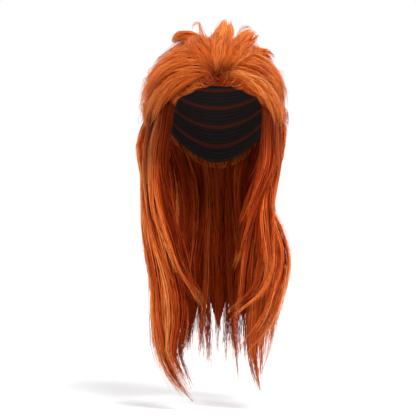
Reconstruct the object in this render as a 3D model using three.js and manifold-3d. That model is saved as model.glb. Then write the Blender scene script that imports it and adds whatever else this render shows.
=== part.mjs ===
// A copper-orange mullet wig: a stretch-net cap that carries teased short locks over the crown
// and long straight locks that hang in front of the shoulders and down the back.
// Millimetres, +Z up. The face opening looks along -Y, and +X is on the right as seen from the front.
// The origin is the inside top of the cap, where the crown of the head sits.
import * as THREE from "three";
import { LoftGeometry } from "three/addons/geometries/LoftGeometry.js";
import { mergeVertices } from "three/addons/utils/BufferGeometryUtils.js";
import Module from "manifold-3d";

// Head that the cap is cut for: half sizes of an egg, a taller one below its widest level
const HEAD_HALF_WIDTH = 77;
const HEAD_HALF_DEPTH = 98;
const CROWN_HEIGHT = 95;
const NAPE_DEPTH = 120;

// Net cap
const CAP_WALL = 2;
const CAP_SECTORS = 28;
const CAP_RINGS = 7;

// Edge of the cap: azimuth from the front, polar angle down from the crown, both in degrees
const CAP_EDGE = [
  { azimuth: 0, polar: 47 },
  { azimuth: 42, polar: 56 },
  { azimuth: 62, polar: 78 },
  { azimuth: 80, polar: 97 },
  { azimuth: 105, polar: 93 },
  { azimuth: 180, polar: 120 },
];

// Space of the head that stays clear of hair, by polar angle
const HEAD_SPACE_POLAR = [2, 165];
const HEAD_SPACE_RINGS = 16;

// Locks: clearance to the cap and to each other, and how finely they are faceted
const LOCK_GAP = 0.8;
const SLIVER = 0.4;
const LOCK_SIDES = 7;
const SHORT_LOCK_STEPS = 6;
const LONG_LOCK_STEPS = 10;

// Share of a lock's length over which its direction is read
const SLOPE_STEP = 0.01;

// Long locks start under the short ones, at these polar angles and lifts on the back of the head
const BACK_ROOTS = [
  { polar: 74, lift: 8 },
  { polar: 97, lift: 16 },
];

// The two thin strands start at the nape and hang in front of the other back hair by this much
const STRAND_ROOTS = [
  { polar: 98, lift: 5.2 },
  { polar: 116, lift: 5 },
];
const STRAND_INSET = 16;

// How a lock swells from its root and narrows to its tip, as shares of its full width
const SHORT_FORM = { root: 0.6, fullAt: 0.45, tip: 0.22, tipPower: 2.2 };
const LONG_FORM = { root: 0.7, fullAt: 0.3, tip: 0.12, tipPower: 2.6 };

// Short locks of the crown. azimuth runs from root to tip over the head, with + on the right.
// polar and lift, the height over the head, are each given at the root, for the bend and at the tip.
// size is the full width and thickness.
const CROWN_LOCKS = [
  { name: "layer_middle", azimuth: [180, 180], polar: [46, 72, 98], lift: [6, 34, 36], size: [70, 26] },
  { name: "layer_left_back", azimuth: [-154, -152], polar: [46, 72, 99], lift: [6, 34, 37], size: [68, 26] },
  { name: "layer_right_back", azimuth: [154, 152], polar: [46, 72, 97], lift: [6, 33, 35], size: [68, 26] },
  { name: "layer_left_mid", azimuth: [-128, -125], polar: [46, 72, 98], lift: [6, 34, 36], size: [66, 26] },
  { name: "layer_right_mid", azimuth: [128, 125], polar: [46, 72, 99], lift: [6, 27, 25], size: [66, 26] },
  { name: "layer_left_ear", azimuth: [-101, -98], polar: [46, 70, 96], lift: [6, 33, 35], size: [64, 25] },
  { name: "layer_right_ear", azimuth: [101, 98], polar: [46, 70, 98], lift: [6, 18, 12], size: [64, 24] },
  { name: "crown_back_middle", azimuth: [180, 180], polar: [-14, 30, 68], lift: [12, 42, 42], size: [84, 30] },
  { name: "crown_back_left", azimuth: [-138, -144], polar: [8, 36, 66], lift: [12, 42, 43], size: [80, 30] },
  { name: "crown_back_right", azimuth: [138, 144], polar: [8, 36, 67], lift: [12, 40, 40], size: [80, 30] },
  { name: "crown_side_left", azimuth: [-96, -112], polar: [8, 36, 62], lift: [12, 42, 41], size: [76, 30] },
  { name: "crown_side_right", azimuth: [96, 112], polar: [8, 36, 63], lift: [12, 37, 29], size: [76, 28] },
  { name: "wing_left_low", azimuth: [-3, -84], polar: [42, 38, 94], lift: [3, 18, 28], size: [38, 24] },
  { name: "wing_right_low", azimuth: [3, 83], polar: [42, 38, 98], lift: [3, 13, 12], size: [38, 22] },
  { name: "wing_left_mid", azimuth: [-4, -93], polar: [39, 30, 82], lift: [5, 31, 36], size: [50, 30] },
  { name: "wing_right_mid", azimuth: [4, 92], polar: [39, 30, 84], lift: [5, 24, 18], size: [50, 28] },
  { name: "wing_left_high", azimuth: [-6, -98], polar: [36, 20, 62], lift: [8, 40, 40], size: [54, 30] },
  { name: "wing_right_high", azimuth: [6, 98], polar: [36, 20, 64], lift: [8, 33, 26], size: [54, 28] },
  { name: "crown_left", azimuth: [-10, -86], polar: [33, 10, 42], lift: [10, 39, 42], size: [50, 28] },
  { name: "crown_right", azimuth: [10, 86], polar: [33, 10, 42], lift: [10, 36, 36], size: [50, 28] },
  { name: "quiff_left", azimuth: [-6, -36], polar: [42, 28, 20], lift: [6, 35, 42], size: [42, 24] },
  { name: "quiff_right", azimuth: [8, 40], polar: [42, 28, 20], lift: [6, 35, 40], size: [44, 24] },
  { name: "quiff_middle", azimuth: [-2, 4], polar: [44, 30, 12], lift: [6, 36, 38], size: [32, 22] },
  { name: "spike_left_curl", azimuth: [-50, -80], polar: [10, 22, 34], lift: [26, 76, 42], size: [24, 12] },
  { name: "spike_left_wisp", azimuth: [-30, -62], polar: [16, 12, 10], lift: [26, 50, 65], size: [9, 7] },
  { name: "spike_middle", azimuth: [2, 18], polar: [22, 18, 10], lift: [22, 46, 66], size: [26, 15] },
  { name: "spike_right", azimuth: [20, 52], polar: [24, 21, 19], lift: [22, 46, 62], size: [32, 18] },
  { name: "spike_far_right", azimuth: [56, 86], polar: [22, 30, 34], lift: [26, 45, 44], size: [28, 16] },
];

// Outline that the back hair hangs along, an ellipse about the Z axis at each height
const BACK_OUTLINE = [
  { z: -180, halfWidth: 78, halfDepth: 110 },
  { z: -250, halfWidth: 78, halfDepth: 98 },
  { z: -330, halfWidth: 88, halfDepth: 92 },
];

// Long locks of the back: place around the head, where the tip hangs, full width and thickness
const BACK_LOCKS = [
  { name: "back_middle", azimuth: 180, tip: { x: 2, y: 90, z: -448 }, size: [58, 20] },
  { name: "back_left_inner", azimuth: -155, tip: { x: -38, y: 86, z: -440 }, size: [54, 20] },
  { name: "back_right_inner", azimuth: 155, tip: { x: 42, y: 86, z: -436 }, size: [54, 20] },
  { name: "back_left_outer", azimuth: -131, tip: { x: -62, y: 70, z: -424 }, size: [54, 20] },
  { name: "back_right_outer", azimuth: 131, tip: { x: 62, y: 70, z: -428 }, size: [54, 20] },
  { name: "back_left_side", azimuth: -107, tip: { x: -78, y: 42, z: -396 }, size: [50, 20] },
  { name: "back_right_side", azimuth: 107, tip: { x: 74, y: 42, z: -402 }, size: [50, 20] },
];

// Thin strands of the back, given in the same way
const BACK_STRANDS = [
  { name: "back_left_strand", azimuth: -168, tip: { x: -31, y: 70, z: -465 }, size: [9, 6] },
  { name: "back_right_strand", azimuth: 168, tip: { x: 33, y: 70, z: -489 }, size: [9, 6] },
].map((row) => ({ ...row, roots: STRAND_ROOTS, inset: STRAND_INSET }));

// Long locks that hang in front of the shoulders: a row for each station from root to tip.
// facing is the azimuth that the flat of the lock looks towards, at root and tip.
const FALL_LOCKS = [
  {
    name: "fall_left_outer",
    facing: [-88, -40],
    size: [38, 26],
    stations: [
      { x: -90, y: 14, z: -70 },
      { x: -110, y: 10, z: -122 },
      { x: -103, y: 4, z: -165 },
      { x: -103, y: -2, z: -200 },
      { x: -97, y: -24, z: -268 },
      { x: -87, y: -46, z: -330 },
      { x: -85, y: -58, z: -390 },
      { x: -78, y: -62, z: -432 },
      { x: -62, y: -66, z: -470 },
      { x: -36, y: -70, z: -500 },
    ],
  },
  {
    name: "fall_left_middle",
    facing: [-76, -14],
    size: [46, 22],
    stations: [
      { x: -88, y: -14, z: -72 },
      { x: -99, y: -16, z: -130 },
      { x: -95, y: -22, z: -205 },
      { x: -82, y: -44, z: -275 },
      { x: -66, y: -62, z: -335 },
      { x: -61, y: -72, z: -385 },
      { x: -66, y: -76, z: -428 },
      { x: -39, y: -80, z: -481 },
    ],
  },
  {
    name: "fall_left_inner",
    facing: [-60, -10],
    size: [38, 18],
    stations: [
      { x: -77, y: -42, z: -70 },
      { x: -90, y: -42, z: -145 },
      { x: -86, y: -46, z: -213 },
      { x: -71, y: -60, z: -265 },
      { x: -57, y: -76, z: -308 },
      { x: -32, y: -86, z: -344 },
    ],
  },
  {
    name: "fall_left_lower",
    facing: [-58, -8],
    size: [36, 16],
    stations: [
      { x: -80, y: -28, z: -82 },
      { x: -86, y: -28, z: -165 },
      { x: -79, y: -34, z: -232 },
      { x: -60, y: -52, z: -300 },
      { x: -49, y: -66, z: -350 },
      { x: -47, y: -74, z: -395 },
      { x: -55, y: -78, z: -434 },
    ],
  },
  {
    name: "fall_right_outer",
    facing: [86, 16],
    size: [36, 22],
    stations: [
      { x: 82, y: 14, z: -76 },
      { x: 87, y: 8, z: -136 },
      { x: 70, y: -2, z: -182 },
      { x: 67, y: -14, z: -214 },
      { x: 83, y: -32, z: -258 },
      { x: 94, y: -48, z: -295 },
      { x: 86, y: -64, z: -338 },
      { x: 68, y: -78, z: -380 },
      { x: 34, y: -86, z: -425 },
    ],
  },
  {
    name: "fall_right_middle",
    facing: [74, 10],
    size: [42, 20],
    stations: [
      { x: 84, y: -14, z: -76 },
      { x: 82, y: -20, z: -145 },
      { x: 70, y: -28, z: -205 },
      { x: 64, y: -44, z: -265 },
      { x: 57, y: -58, z: -325 },
      { x: 54, y: -66, z: -385 },
      { x: 55, y: -72, z: -436 },
      { x: 66, y: -76, z: -483 },
    ],
  },
  {
    name: "fall_right_flick",
    facing: [64, 10],
    size: [30, 16],
    stations: [
      { x: 78, y: -32, z: -72 },
      { x: 79, y: -42, z: -150 },
      { x: 69, y: -50, z: -205 },
      { x: 69, y: -64, z: -260 },
      { x: 70, y: -78, z: -303 },
      { x: 59, y: -88, z: -336 },
      { x: 29, y: -94, z: -362 },
    ],
  },
  {
    name: "fall_right_inner",
    facing: [56, 14],
    size: [26, 14],
    stations: [
      { x: 72, y: -46, z: -70 },
      { x: 71, y: -58, z: -150 },
      { x: 56, y: -64, z: -200 },
      { x: 43, y: -70, z: -242 },
      { x: 28, y: -76, z: -290 },
    ],
  },
  {
    name: "fall_right_strand",
    facing: [50, 6],
    size: [10, 7],
    stations: [
      { x: 77, y: -40, z: -88 },
      { x: 66, y: -46, z: -185 },
      { x: 48, y: -60, z: -245 },
      { x: 37, y: -74, z: -300 },
      { x: 33, y: -80, z: -345 },
      { x: 24, y: -82, z: -392 },
      { x: 32, y: -84, z: -440 },
    ],
  },
];

const CAP_MATERIAL = new THREE.MeshStandardMaterial({ color: 0x1d1512, roughness: 0.9, metalness: 0 });
const CROWN_MATERIAL = new THREE.MeshStandardMaterial({ color: 0xcf6426, roughness: 0.45, metalness: 0 });
const FALL_MATERIAL = new THREE.MeshStandardMaterial({ color: 0xb9501d, roughness: 0.42, metalness: 0 });

const FILLED_ENDS = { capStart: true, capEnd: true };

const wasm = await Module();
wasm.setup();

// The point on the head at an azimuth and polar angle in degrees, raised by lift along the surface normal
function onHead(azimuth, polar, lift) {
  const around = THREE.MathUtils.degToRad(azimuth);
  const down = THREE.MathUtils.degToRad(polar);
  const level = Math.sin(down);
  const ray = new THREE.Vector3(level * Math.sin(around), -level * Math.cos(around), Math.cos(down));
  const half = new THREE.Vector3(HEAD_HALF_WIDTH, HEAD_HALF_DEPTH, ray.z < 0 ? NAPE_DEPTH : CROWN_HEIGHT);
  const reach = 1 / ray.clone().divide(half).length();
  const out = ray.clone().divide(half).divide(half).normalize();
  const centre = ray.multiplyScalar(reach).addScaledVector(out, lift);
  centre.z -= CROWN_HEIGHT;
  return { centre, out };
}

// The polar angle of the cap's edge at an azimuth, eased between the rows of its table
function capEdge(azimuth) {
  const side = Math.abs(azimuth);
  const next = Math.max(1, CAP_EDGE.findIndex((row) => row.azimuth >= side));
  const [low, high] = [CAP_EDGE[next - 1], CAP_EDGE[next]];
  const share = THREE.MathUtils.smoothstep(side, low.azimuth, high.azimuth);
  return THREE.MathUtils.lerp(low.polar, high.polar, share);
}

// Evenly spaced numbers from low to high
function spaced(low, high, steps) {
  return Array.from({ length: steps + 1 }, (_, i) => THREE.MathUtils.lerp(low, high, i / steps));
}

// The cap is its wall's outline, down the outside and up the inside, swept around the head
function capGeometry() {
  const outlines = spaced(-180, 180, CAP_SECTORS).map((azimuth) => {
    const polars = spaced(0, capEdge(azimuth), CAP_RINGS);
    const outside = polars.map((polar) => onHead(azimuth, polar, CAP_WALL).centre);
    const inside = polars.map((polar) => onHead(azimuth, polar, 0).centre);
    return [...outside, ...inside.reverse()];
  });
  return new LoftGeometry(outlines);
}

// The space that the head and the cap take, which no lock enters
function headSpace() {
  const rings = spaced(...HEAD_SPACE_POLAR, HEAD_SPACE_RINGS).map((polar) =>
    spaced(180, -180, CAP_SECTORS)
      .slice(1)
      .map((azimuth) => onHead(azimuth, polar, CAP_WALL + LOCK_GAP).centre),
  );
  return new LoftGeometry(rings, FILLED_ENDS);
}

// The share of its full width that a lock has at t, from 0 at the root to 1 at the tip
function swell(t, form) {
  const rise = THREE.MathUtils.lerp(form.root, 1, THREE.MathUtils.smoothstep(t, 0, form.fullAt));
  const past = Math.max(0, (t - form.fullAt) / (1 - form.fullAt));
  return rise * (1 - (1 - form.tip) * past ** form.tipPower);
}

// A lock lofted through flat oval sections along a path. grow makes it fatter and longer all round.
function lockGeometry({ path, size, form, steps }, grow = 0) {
  const [width, thick] = size;
  const sections = Array.from({ length: steps + 1 }, (_, i) => {
    const t = i / steps;
    const { centre, out } = path(t);
    const ahead = path(Math.min(1, t + SLOPE_STEP)).centre;
    const behind = path(Math.max(0, t - SLOPE_STEP)).centre;
    const along = ahead.sub(behind).normalize();
    const flat = out.clone().addScaledVector(along, -out.dot(along)).normalize();
    const across = flat.clone().cross(along);
    if (i === 0) centre.addScaledVector(along, -grow);
    if (i === steps) centre.addScaledVector(along, grow);
    const share = swell(t, form) / 2;
    return Array.from({ length: LOCK_SIDES }, (_, side) => {
      const angle = (2 * Math.PI * side) / LOCK_SIDES;
      return centre
        .clone()
        .addScaledVector(across, (width * share + grow) * Math.cos(angle))
        .addScaledVector(flat, (thick * share + grow) * Math.sin(angle));
    });
  });
  return new LoftGeometry(sections, FILLED_ENDS);
}

// The value at t of a bend from start to end that leans towards middle
function bend([start, middle, end], t) {
  return (1 - t) ** 2 * start + 2 * t * (1 - t) * middle + t * t * end;
}

// A short lock sweeps over the head from its root, lifting as it goes
function crownPath({ azimuth, polar, lift }) {
  return (t) => onHead(THREE.MathUtils.lerp(...azimuth, t), bend(polar, t), bend(lift, t));
}

// The horizontal direction at an azimuth from the front
function towards(azimuth) {
  const around = THREE.MathUtils.degToRad(azimuth);
  return new THREE.Vector3(Math.sin(around), -Math.cos(around), 0);
}

// A back lock leaves the head under the short layers and hangs along the outline to its tip
function backPath({ azimuth, tip, roots = BACK_ROOTS, inset = 0 }) {
  const out = towards(azimuth);
  const hanging = BACK_OUTLINE.map(
    ({ z, halfWidth, halfDepth }) => new THREE.Vector3(out.x * halfWidth, out.y * (halfDepth - inset), z),
  );
  const starts = roots.map(({ polar, lift }) => onHead(azimuth, polar, lift).centre);
  const curve = new THREE.CatmullRomCurve3([...starts, ...hanging, new THREE.Vector3(tip.x, tip.y, tip.z)]);
  return (t) => ({ centre: curve.getPointAt(t), out: out.clone() });
}

// A fall follows its stations, and its flat side turns from one facing to the other
function fallPath({ facing, stations }) {
  const curve = new THREE.CatmullRomCurve3(stations.map(({ x, y, z }) => new THREE.Vector3(x, y, z)));
  return (t) => ({ centre: curve.getPointAt(t), out: towards(THREE.MathUtils.lerp(...facing, t)) });
}

// A closed geometry as a solid, without the faces that shrink to a line where points meet
function solidOf(geometry) {
  const bare = new THREE.BufferGeometry();
  bare.setAttribute("position", geometry.attributes.position);
  bare.setIndex(geometry.index);
  const merged = mergeVertices(bare);
  const corners = merged.index.array;
  const triVerts = [];
  for (let i = 0; i < corners.length; i += 3) {
    const [a, b, c] = corners.slice(i, i + 3);
    if (a !== b && b !== c && c !== a) triVerts.push(a, b, c);
  }
  const mesh = new wasm.Mesh({
    numProp: 3,
    vertProperties: merged.attributes.position.array,
    triVerts: Uint32Array.from(triVerts),
  });
  return new wasm.Manifold(mesh);
}

// A solid as a geometry
function geometryOf(solid) {
  const { vertProperties, triVerts } = solid.getMesh();
  const geometry = new THREE.BufferGeometry();
  geometry.setAttribute("position", new THREE.BufferAttribute(vertProperties, 3));
  geometry.setIndex(new THREE.BufferAttribute(triVerts, 1));
  geometry.computeVertexNormals();
  return geometry;
}

// The largest body of a solid, without the crumbs that a cut leaves
function largest(solid) {
  return solid.decompose().reduce((best, body) => (body.volume() > best.volume() ? body : best));
}

// Cuts each lock back from the head and from the locks that lie under it, and keeps what is left
function layLocks(locks, taken, group, material) {
  for (const lock of locks) {
    const whole = solidOf(lockGeometry(lock));
    const left = taken.reduce((solid, space) => solid.subtract(space), whole);
    const mesh = new THREE.Mesh(geometryOf(largest(left.simplify(SLIVER))), material);
    mesh.name = lock.name;
    group.add(mesh);
    taken.push(solidOf(lockGeometry(lock, LOCK_GAP)));
  }
}

const longLock = (row, path) => ({ ...row, path: path(row), form: LONG_FORM, steps: LONG_LOCK_STEPS });
const shortLock = (row) => ({ ...row, path: crownPath(row), form: SHORT_FORM, steps: SHORT_LOCK_STEPS });

const wig = new THREE.Group();
const cap = new THREE.Mesh(geometryOf(solidOf(capGeometry())), CAP_MATERIAL);
cap.name = "wig_cap";
const falls = new THREE.Group();
const back = new THREE.Group();
const crown = new THREE.Group();
wig.add(cap, falls, back, crown);

const taken = [solidOf(headSpace())];
layLocks(FALL_LOCKS.map((row) => longLock(row, fallPath)), taken, falls, FALL_MATERIAL);
layLocks([...BACK_LOCKS, ...BACK_STRANDS].map((row) => longLock(row, backPath)), taken, back, FALL_MATERIAL);
layLocks(CROWN_LOCKS.map(shortLock), taken, crown, CROWN_MATERIAL);

export default wig;
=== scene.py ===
"""A copper-orange mullet wig: net cap, teased crown locks and long falls, every lock a bundle of fibres."""

from __future__ import annotations

import logging
import math
from dataclasses import dataclass, replace
from enum import Enum
from typing import Any, Iterable, Mapping, Protocol, Sequence

import bpy
import numpy as np
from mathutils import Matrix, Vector


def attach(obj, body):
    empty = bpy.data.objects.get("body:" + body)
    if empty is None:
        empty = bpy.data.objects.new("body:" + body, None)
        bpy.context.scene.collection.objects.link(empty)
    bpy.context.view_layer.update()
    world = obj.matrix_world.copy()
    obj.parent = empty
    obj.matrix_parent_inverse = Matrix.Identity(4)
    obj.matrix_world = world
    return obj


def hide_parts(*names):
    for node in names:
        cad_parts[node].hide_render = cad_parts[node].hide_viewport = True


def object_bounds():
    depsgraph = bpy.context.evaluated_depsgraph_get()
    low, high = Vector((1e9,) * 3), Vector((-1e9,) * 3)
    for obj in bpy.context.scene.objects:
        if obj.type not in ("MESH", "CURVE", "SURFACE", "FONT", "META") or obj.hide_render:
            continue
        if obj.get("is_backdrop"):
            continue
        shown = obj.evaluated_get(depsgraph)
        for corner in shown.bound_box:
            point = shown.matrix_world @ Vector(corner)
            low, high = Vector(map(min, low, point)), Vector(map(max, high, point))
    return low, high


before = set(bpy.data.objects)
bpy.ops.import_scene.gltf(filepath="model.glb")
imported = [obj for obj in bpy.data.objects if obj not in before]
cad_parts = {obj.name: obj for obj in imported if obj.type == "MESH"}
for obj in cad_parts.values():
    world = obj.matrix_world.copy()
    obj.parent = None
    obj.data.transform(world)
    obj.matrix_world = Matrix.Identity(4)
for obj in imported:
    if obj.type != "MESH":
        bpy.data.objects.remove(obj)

LOG = logging.getLogger("wig")
Array = np.ndarray
Range = tuple[float, float]

# Tables are in millimetres, as the locks were laid out, and meshes are in metres.
MM = 0.001
TINY = 1e-12
PALETTE_MAP = "OFBake"
BODY = "root"


class Value:
    """A shader number whose operators add Math nodes to its graph."""

    def __init__(self, graph: Graph, socket: bpy.types.NodeSocket) -> None:
        """Wraps one output socket of a graph."""
        self.graph = graph
        self.socket = socket

    def _math(self, operation: str, *operands: Any) -> Value:
        """The result of a new Math node on numbers or values, in order."""
        inputs = dict(enumerate(operands))
        return self.graph.node("ShaderNodeMath", {"operation": operation}, inputs)["Value"]

    def __add__(self, other: Any) -> Value:
        """self + other"""
        return self._math("ADD", self, other)

    def __sub__(self, other: Any) -> Value:
        """self - other"""
        return self._math("SUBTRACT", self, other)

    def __rsub__(self, other: Any) -> Value:
        """other - self"""
        return self._math("SUBTRACT", other, self)

    def __mul__(self, other: Any) -> Value:
        """self * other"""
        return self._math("MULTIPLY", self, other)

    def __gt__(self, other: Any) -> Value:
        """1 where self is above other, else 0"""
        return self._math("GREATER_THAN", self, other)

    def fraction(self) -> Value:
        """What is left of self above its whole number."""
        return self._math("FRACT", self)

    def ramp(self, low: float, high: float) -> Value:
        """A smooth step from 0 at low to 1 at high."""
        inputs = {"Value": self, "From Min": low, "From Max": high}
        return self.graph.node("ShaderNodeMapRange", {"interpolation_type": "SMOOTHSTEP"}, inputs)["Result"]


class Graph:
    """A material's node tree with one Principled surface."""

    def __init__(self, name: str) -> None:
        """Makes the material and finds its surface node.

        Args:
            name: the material's name.
        """
        self.material = bpy.data.materials.new(name)
        self.material.use_nodes = True
        self.tree = self.material.node_tree
        self.surface = self.tree.nodes["Principled BSDF"]

    def _feed(self, socket: bpy.types.NodeSocket, value: Any) -> None:
        """Links a value to an input, or sets a constant there.

        Args:
            socket: the input.
            value: the value or constant.
        """
        if isinstance(value, Value):
            self.tree.links.new(value.socket, socket)
        else:
            socket.default_value = value

    def node(self, kind: str, settings: Mapping[str, Any], inputs: Mapping[Any, Any]) -> dict[str, Value]:
        """Adds one node of any kind.

        Args:
            kind: the node's type name.
            settings: its properties, set first; "stops" fills a colour ramp.
            inputs: values or constants, by socket name or number.

        Returns:
            The node's outputs in use, by name.
        """
        node = self.tree.nodes.new(kind)
        for key, setting in settings.items():
            if key == "stops":
                self._fill_ramp(node.color_ramp, setting)
            else:
                setattr(node, key, setting)
        named = {socket.name: socket for socket in node.inputs if socket.enabled}
        for key, value in inputs.items():
            self._feed(node.inputs[key] if isinstance(key, int) else named[key], value)
        return {socket.name: Value(self, socket) for socket in node.outputs if socket.enabled}

    @staticmethod
    def _fill_ramp(ramp: bpy.types.ColorRamp, stops: Sequence[tuple[float, Colour]]) -> None:
        """Sets a ramp's stops.

        Args:
            ramp: the ramp of a new node.
            stops: each stop's place and colour.
        """
        while len(ramp.elements) < len(stops):
            ramp.elements.new(1.0)
        for element, (place, colour) in zip(ramp.elements, stops):
            element.position = place
            element.color = colour.rgba()

    def mix(self, factor: Any, first: Any, second: Any) -> Value:
        """A colour between two: the first at factor 0 and the second at 1."""
        inputs = {"Factor": factor, "A": first, "B": second}
        return self.node("ShaderNodeMix", {"data_type": "RGBA"}, inputs)["Result"]

    def surface_map(self) -> tuple[Value, Value]:
        """Reads the piece's own map.

        Returns:
            The places across and along it.
        """
        uv = self.node("ShaderNodeUVMap", {"uv_map": PALETTE_MAP}, {})["UV"]
        parts = self.node("ShaderNodeSeparateXYZ", {}, {"Vector": uv})
        return parts["X"], parts["Y"]

    def dress(self, **sockets: Any) -> bpy.types.Material:
        """Feeds the surface's sockets.

        Args:
            sockets: values by socket name, with _ for a space.

        Returns:
            The finished material.
        """
        for name, value in sockets.items():
            self._feed(self.surface.inputs[name.replace("_", " ")], value)
        return self.material


@dataclass(frozen=True)
class Colour:
    """A display colour, each channel from 0 to 255."""

    red: int
    green: int
    blue: int

    def rgba(self) -> tuple[float, ...]:
        """The colour as linear light, by the display's standard curve.

        Returns:
            Red, green and blue from 0 to 1, and full cover.
        """
        shares = np.array([self.red, self.green, self.blue]) / 255
        light = np.where(shares <= 0.04045, shares / 12.92, ((shares + 0.055) / 1.055) ** 2.4)
        return (*light.tolist(), 1.0)


@dataclass(frozen=True)
class HairFinish:
    """Synthetic fibre: its tones from shaded to sunlit, and how it shines.

    root_stain_and_shade and bleached are where along the lock the root's colour ends and the tip's begins,
    and root_stain_and_shade_cover and bleach are how much these cover. The dark root is partly the hair's
    own colour and partly painted shade. Tones are duller by matt below shaded, and roots by root_matt.
    """

    name: str
    tones: tuple[tuple[float, Colour], ...]
    root: Colour
    root_stain_and_shade: Range
    tip: Colour
    bleach: float
    bleached: Range
    gloss: float
    roughness: float = 0.36
    root_stain_and_shade_cover: float = 0.75
    shaded: Range = (0.15, 0.4)
    matt: float = 0.4
    root_matt: float = 0.3

    def make(self) -> bpy.types.Material:
        """Builds the fibre's material.

        The map's first coordinate picks the fibre's tone on a ramp. Along the second, the root is darker,
        partly by the hair's own colour and partly as painted shade, and the tip bleached a little. The
        darkest tones and the darker roots are matt.

        Returns:
            The material.
        """
        graph = Graph(self.name)
        tone, along = graph.surface_map()
        colour = graph.node("ShaderNodeValToRGB", {"stops": self.tones}, {"Fac": tone})["Color"]
        # The dark root: partly the hair's own colour, partly painted shade.
        root = 1 - along.ramp(*self.root_stain_and_shade)
        rooted = graph.mix(root * self.root_stain_and_shade_cover, colour, self.root.rgba())
        tip = self.tip.rgba()
        tipped = graph.mix(along.ramp(*self.bleached) * self.bleach, rooted, tip)
        dull = (1 - tone.ramp(*self.shaded)) * self.matt + root * self.root_matt + self.roughness
        graph.dress(Specular_IOR_Level=self.gloss, Specular_Tint=tip)
        return graph.dress(Base_Color=tipped, Roughness=dull)


@dataclass(frozen=True)
class NetFinish:
    """Stretch net with rows of sewn hair wefts. Gaps are shares of the spacing, and relief is in metres."""

    name: str = "cap_net"
    ground: Colour = Colour(12, 9, 8)
    thread: Colour = Colour(46, 36, 32)
    weft: Colour = Colour(110, 36, 12)
    columns: int = 180
    rows: int = 72
    wefts: int = 14
    thread_gap: float = 0.62
    weft_gap: float = 0.8
    weft_cover: float = 0.8
    relief: float = 0.0004
    relief_strength: float = 0.6
    roughness: float = 0.85

    def make(self) -> bpy.types.Material:
        """Builds the net's material.

        Fine threads cross as two saw waves of the map's coordinates, and each weft is a thin line
        of hair roots around the cap.

        Returns:
            The material.
        """
        graph = Graph(self.name)
        around, down = graph.surface_map()
        upright = (around * self.columns).fraction() > self.thread_gap
        level = (down * self.rows).fraction() > self.thread_gap
        threads = upright + level - upright * level
        sewn = (down * self.wefts).fraction() > self.weft_gap
        net = graph.mix(threads, self.ground.rgba(), self.thread.rgba())
        colour = graph.mix(sewn * self.weft_cover, net, self.weft.rgba())
        bump = {"Height": threads + sewn, "Distance": self.relief, "Strength": self.relief_strength}
        normal = graph.node("ShaderNodeBump", {}, bump)["Normal"]
        return graph.dress(Base_Color=colour, Roughness=self.roughness, Normal=normal)


@dataclass(frozen=True)
class FloorFinish:
    """The floor's plain matt paint."""

    name: str = "floor_paint"
    colour: Colour = Colour(214, 214, 215)
    roughness: float = 0.9

    def make(self) -> bpy.types.Material:
        """Builds the paint's material."""
        return Graph(self.name).dress(Base_Color=self.colour.rgba(), Roughness=self.roughness)


class Hair(Enum):
    """The two kinds of hair on the wig, by the record's slot."""

    CROWN = "crown_hair"
    LONG = "long_hair"


FINISHES: dict[Hair, HairFinish] = {
    Hair.CROWN: HairFinish(
        name="crown_fibre",
        tones=(
            (0.0, Colour(84, 12, 6)),
            (0.25, Colour(158, 48, 16)),
            (0.5, Colour(219, 103, 41)),
            (0.75, Colour(241, 145, 68)),
            (1.0, Colour(255, 200, 136)),
        ),
        # The root colour is partly the hair's own and partly painted shade.
        root=Colour(104, 10, 5),
        root_stain_and_shade=(0.05, 0.28),
        tip=Colour(244, 150, 70),
        bleach=0.3,
        bleached=(0.4, 0.75),
        gloss=0.5,
    ),
    Hair.LONG: HairFinish(
        name="long_fibre",
        tones=(
            (0.0, Colour(60, 6, 3)),
            (0.25, Colour(118, 26, 8)),
            (0.5, Colour(184, 66, 23)),
            (0.75, Colour(234, 116, 50)),
            (1.0, Colour(255, 182, 110)),
        ),
        # The root colour is partly the hair's own and partly painted shade.
        root=Colour(84, 18, 5),
        root_stain_and_shade=(0.02, 0.16),
        tip=Colour(250, 148, 66),
        bleach=0.4,
        bleached=(0.64, 0.74),
        gloss=0.45,
    ),
}


def unit(vectors: Array) -> Array:
    """Vectors scaled to length 1, with none divided by zero."""
    return vectors / np.maximum(np.linalg.norm(vectors, axis=-1, keepdims=True), TINY)


def square_to(axis: Array, vectors: Array) -> Array:
    """Vectors without their part along an axis of length 1, scaled to length 1."""
    return unit(vectors - axis * np.sum(vectors * axis, axis=-1, keepdims=True))


def turns(sides: int) -> Array:
    """The angles of even sides, once around."""
    return 2 * np.pi * np.arange(sides) / sides


def towards(azimuth: Array) -> Array:
    """Level directions at azimuths in degrees from the front."""
    around = np.radians(azimuth)
    return np.stack([np.sin(around), -np.cos(around), np.zeros_like(around)], axis=-1)


def bend(row: tuple[float, float, float], t: Array) -> Array:
    """A quadratic bend: starts at row[0], leans to row[1] and ends at row[2]."""
    return (1 - t) ** 2 * row[0] + 2 * t * (1 - t) * row[1] + t**2 * row[2]


def ease(u: Array) -> Array:
    """A smooth step from 0 to 1."""
    return u * u * (3 - 2 * u)


def seed_of(name: str) -> int:
    """A steady seed from a name: its letters weighed by their place."""
    return sum((place + 1) * ord(letter) for place, letter in enumerate(name))


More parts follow.
